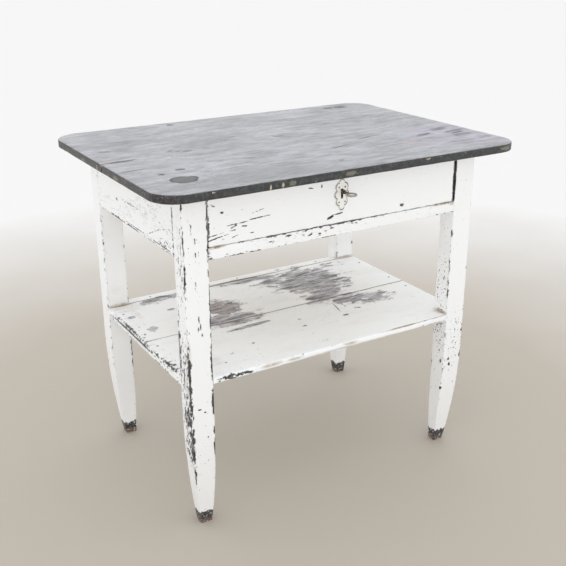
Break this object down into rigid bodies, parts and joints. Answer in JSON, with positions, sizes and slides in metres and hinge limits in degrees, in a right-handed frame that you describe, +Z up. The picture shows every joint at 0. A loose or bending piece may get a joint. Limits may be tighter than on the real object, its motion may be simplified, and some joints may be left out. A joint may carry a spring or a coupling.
{
  "type": "kitchen table with drawer",
  "caption": "Old painted kitchen table with a rounded dark top, square legs that curve in to small feet, a lockable drawer with its key and a low shelf.",
  "frame": {"origin": "on the floor, under the middle of the top", "axes": "+Z up, +X along the table to the right, -Y towards the drawer's front"},
  "size_m": [0.885, 0.64, 0.78],
  "materials": {
    "top_paint": "worn satin paint",
    "white_paint": "chipped thick paint",
    "bare_pine": "bare and dry",
    "fastener_steel": "dull",
    "lock_iron": "dark and oiled",
    "plate_enamel": "cream paint",
    "key_steel": "worn"
  },
  "bodies": {
    "frame": {"front_left_leg": "white_paint", "back_left_leg": "white_paint", "front_right_leg": "white_paint", "back_right_leg": "white_paint", "left_apron": "white_paint", "right_apron": "white_paint", "back_apron": "white_paint", "drawer_rail": "white_paint", "top_rail": "white_paint", "shelf_front_board": "white_paint", "shelf_middle_board": "white_paint", "shelf_back_strip": "white_paint", "shelf_left_bearer": "white_paint", "shelf_right_bearer": "white_paint", "shelf_back_bearer": "white_paint", "top_front_board": "top_paint", "top_middle_board": "top_paint", "top_back_board": "top_paint", "left_runner": "bare_pine", "right_runner": "bare_pine", "left_kicker": "bare_pine", "right_kicker": "bare_pine", "drawer_stops": "bare_pine", "back_blocks": "bare_pine", "runner_screws": "fastener_steel", "top_screws": "fastener_steel", "shelf_nails": "fastener_steel"},
    "drawer": {"drawer_front": "white_paint", "drawer_left_side": "bare_pine", "drawer_right_side": "bare_pine", "drawer_back": "bare_pine", "drawer_bottom": "bare_pine", "drawer_bottom_nails": "fastener_steel", "lock_case": "lock_iron", "drill_pin": "lock_iron", "bolt_spring": "lock_iron", "lock_screws": "fastener_steel", "keyhole_plate": "plate_enamel", "keyhole_plate_pins": "fastener_steel"},
    "key": {"key": "key_steel"},
    "lock_bolt": {"lock_bolt": "lock_iron"}
  },
  "joints": [
    {"name": "drawer_slide", "type": "slide", "parent": "frame", "child": "drawer", "axis": [0, -1, 0], "range_m": [0, 0.36]},
    {"name": "key_turn", "type": "hinge", "parent": "drawer", "child": "key", "pos_m": [-0.008, -0.2375, 0.716], "axis": [0, 1, 0], "range_deg": [0, 60]},
    {"name": "bolt_slide", "type": "slide", "parent": "drawer", "child": "lock_bolt", "axis": [0, 0, 1], "range_m": [0, 0.009]}
  ],
  "couplings": [
    {"joint": "key_turn", "follows": "bolt_slide", "rad_per_m": 116.36}
  ]
}
